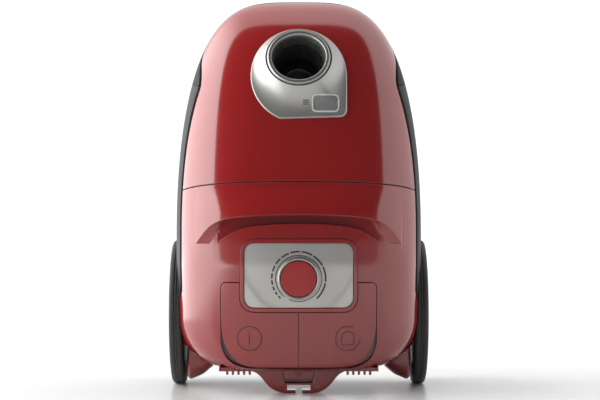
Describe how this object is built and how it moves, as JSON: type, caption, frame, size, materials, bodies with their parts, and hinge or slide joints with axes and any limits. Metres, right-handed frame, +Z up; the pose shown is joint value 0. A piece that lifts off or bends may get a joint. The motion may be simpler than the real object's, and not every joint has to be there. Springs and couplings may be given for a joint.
{
  "type": "canister vacuum cleaner",
  "caption": "Bagged canister vacuum cleaner parked upright on its tail, with hinged lid, hose inlet, carry hood, suction knob, foot pedals and rolling wheels.",
  "frame": {"origin": "on the floor, at the middle of the footprint of the cleaner standing on its tail", "axes": "+Z up toward the nose, -Y toward the control face, +Y toward the underside and caster, +X to the right of the control face"},
  "size_m": [0.3, 0.242, 0.439],
  "materials": {
    "gloss_red": "high gloss moulded plastic",
    "knob_red": "satin",
    "black_plastic": "fine textured",
    "gloss_grey": "gloss",
    "brushed_plate": "brushed",
    "satin_silver": "satin",
    "clear_lens": "clear",
    "tyre_rubber": "soft matte",
    "soft_rubber": "matte",
    "steel": "plain",
    "inner_grey": "moulded",
    "foam": "open cell foam",
    "filter_paper": "pleated paper",
    "bag_cloth": "non-woven cloth",
    "signal_red": "moulded"
  },
  "bodies": {
    "body": {"lower_shell": "black_plastic", "rear_shell": "gloss_red", "side_panel_left": "gloss_grey", "side_panel_right": "gloss_grey", "bulkhead": "inner_grey", "filter_grille": "inner_grey", "foam_filter": "foam", "bag_holder": "inner_grey", "bag_collar": "filter_paper", "dust_bag": "bag_cloth", "fan_housing": "black_plastic", "motor_can": "steel", "motor_mount": "soft_rubber", "motor_bracket": "inner_grey", "reel_axle": "steel", "brake_pin": "steel", "cord_gland": "black_plastic", "exhaust_filter": "filter_paper", "control_bezel": "gloss_red", "control_plate": "brushed_plate", "power_switch": "black_plastic", "screw_1": "steel", "screw_2": "steel", "screw_3": "steel", "screw_4": "steel", "fairing_left": "gloss_red", "fairing_right": "gloss_red", "wheel_axle_left": "steel", "wheel_axle_right": "steel", "pedal_spring_left": "steel", "pedal_spring_right": "steel"},
    "lid": {"lid": "gloss_red", "inlet_surround": "satin_silver", "inlet_ring": "satin_silver", "inlet_sleeve": "black_plastic", "hose_seal": "soft_rubber", "indicator_lens": "clear_lens", "indicator_tray": "black_plastic", "hinge_pin_left": "steel", "hinge_pin_right": "steel"},
    "indicator": {"indicator_flag": "signal_red"},
    "knob": {"knob_ring": "satin_silver", "knob_cap": "knob_red"},
    "pedal_left": {"pedal_left": "gloss_red"},
    "pedal_right": {"pedal_right": "gloss_red"},
    "brake": {"brake_arm": "black_plastic"},
    "reel": {"cord_reel": "inner_grey"},
    "fan": {"impeller": "steel"},
    "latch": {"lid_latch": "black_plastic"},
    "cover": {"exhaust_cover": "gloss_red"},
    "cover_latch": {"cover_latch": "gloss_red"},
    "wheel_left": {"wheel_hub_left": "black_plastic", "wheel_cap_left": "gloss_grey", "tyre_left": "tyre_rubber"},
    "wheel_right": {"wheel_hub_right": "black_plastic", "wheel_cap_right": "gloss_grey", "tyre_right": "tyre_rubber"},
    "caster": {"caster_fork": "black_plastic", "caster_axle": "steel"},
    "caster_wheel": {"caster_wheel": "soft_rubber"}
  },
  "joints": [
    {"name": "lid_hinge", "type": "hinge", "parent": "body", "child": "lid", "pos_m": [0, -0.0955, 0.24], "axis": [1, 0, 0], "range_deg": [0, 72]},
    {"name": "indicator_slide", "type": "slide", "parent": "lid", "child": "indicator", "axis": [1, 0, 0], "range_m": [0, 0.016], "stiffness_N_per_m": 20},
    {"name": "knob_turn", "type": "hinge", "parent": "body", "child": "knob", "pos_m": [0, -0.108, 0.128], "axis": [0, 1, 0], "range_deg": [0, 270]},
    {"name": "pedal_left_press", "type": "hinge", "parent": "body", "child": "pedal_left", "pos_m": [-0.08, -0.088, 0.114], "axis": [1, 0, 0], "range_deg": [0, 3], "stiffness_Nm_per_rad": 2, "deforming": ["pedal_spring_left"]},
    {"name": "pedal_right_press", "type": "hinge", "parent": "body", "child": "pedal_right", "pos_m": [0.08, -0.088, 0.114], "axis": [1, 0, 0], "range_deg": [0, 3], "stiffness_Nm_per_rad": 2, "deforming": ["pedal_spring_right"]},
    {"name": "brake_swing", "type": "hinge", "parent": "body", "child": "brake", "pos_m": [0.07, -0.058, 0.158], "axis": [1, 0, 0], "range_deg": [-3, 0]},
    {"name": "reel_spin", "type": "hinge", "parent": "body", "child": "reel", "pos_m": [0.061, 0, 0.12], "axis": [0, 1, 0], "continuous": true},
    {"name": "fan_spin", "type": "hinge", "parent": "body", "child": "fan", "pos_m": [-0.06, 0.006, 0.18], "axis": [0, 0, 1], "continuous": true},
    {"name": "latch_press", "type": "slide", "parent": "body", "child": "latch", "axis": [0, 0, -1], "range_m": [0, 0.003], "stiffness_N_per_m": 600, "springref_m": -0.001},
    {"name": "cover_hinge", "type": "hinge", "parent": "body", "child": "cover", "pos_m": [0, 0.011, 0.024], "axis": [1, 0, 0], "range_deg": [0, 80]},
    {"name": "cover_latch_press", "type": "slide", "parent": "cover", "child": "cover_latch", "axis": [0, 0, -1], "range_m": [0, 0.003], "stiffness_N_per_m": 600, "springref_m": -0.001},
    {"name": "wheel_left_spin", "type": "hinge", "parent": "body", "child": "wheel_left", "pos_m": [-0.138, 0.038, 0.083], "axis": [1, 0, 0], "continuous": true},
    {"name": "wheel_right_spin", "type": "hinge", "parent": "body", "child": "wheel_right", "pos_m": [0.138, 0.038, 0.083], "axis": [1, 0, 0], "continuous": true},
    {"name": "caster_swivel", "type": "hinge", "parent": "body", "child": "caster", "pos_m": [0, 0.077, 0.352], "axis": [0, 1, 0], "continuous": true},
    {"name": "caster_wheel_spin", "type": "hinge", "parent": "caster", "child": "caster_wheel", "pos_m": [0, 0.104, 0.34], "axis": [1, 0, 0], "continuous": true}
  ],
  "couplings": [
    {"joint": "brake_swing", "follows": "pedal_right_press", "ratio": -1}
  ]
}
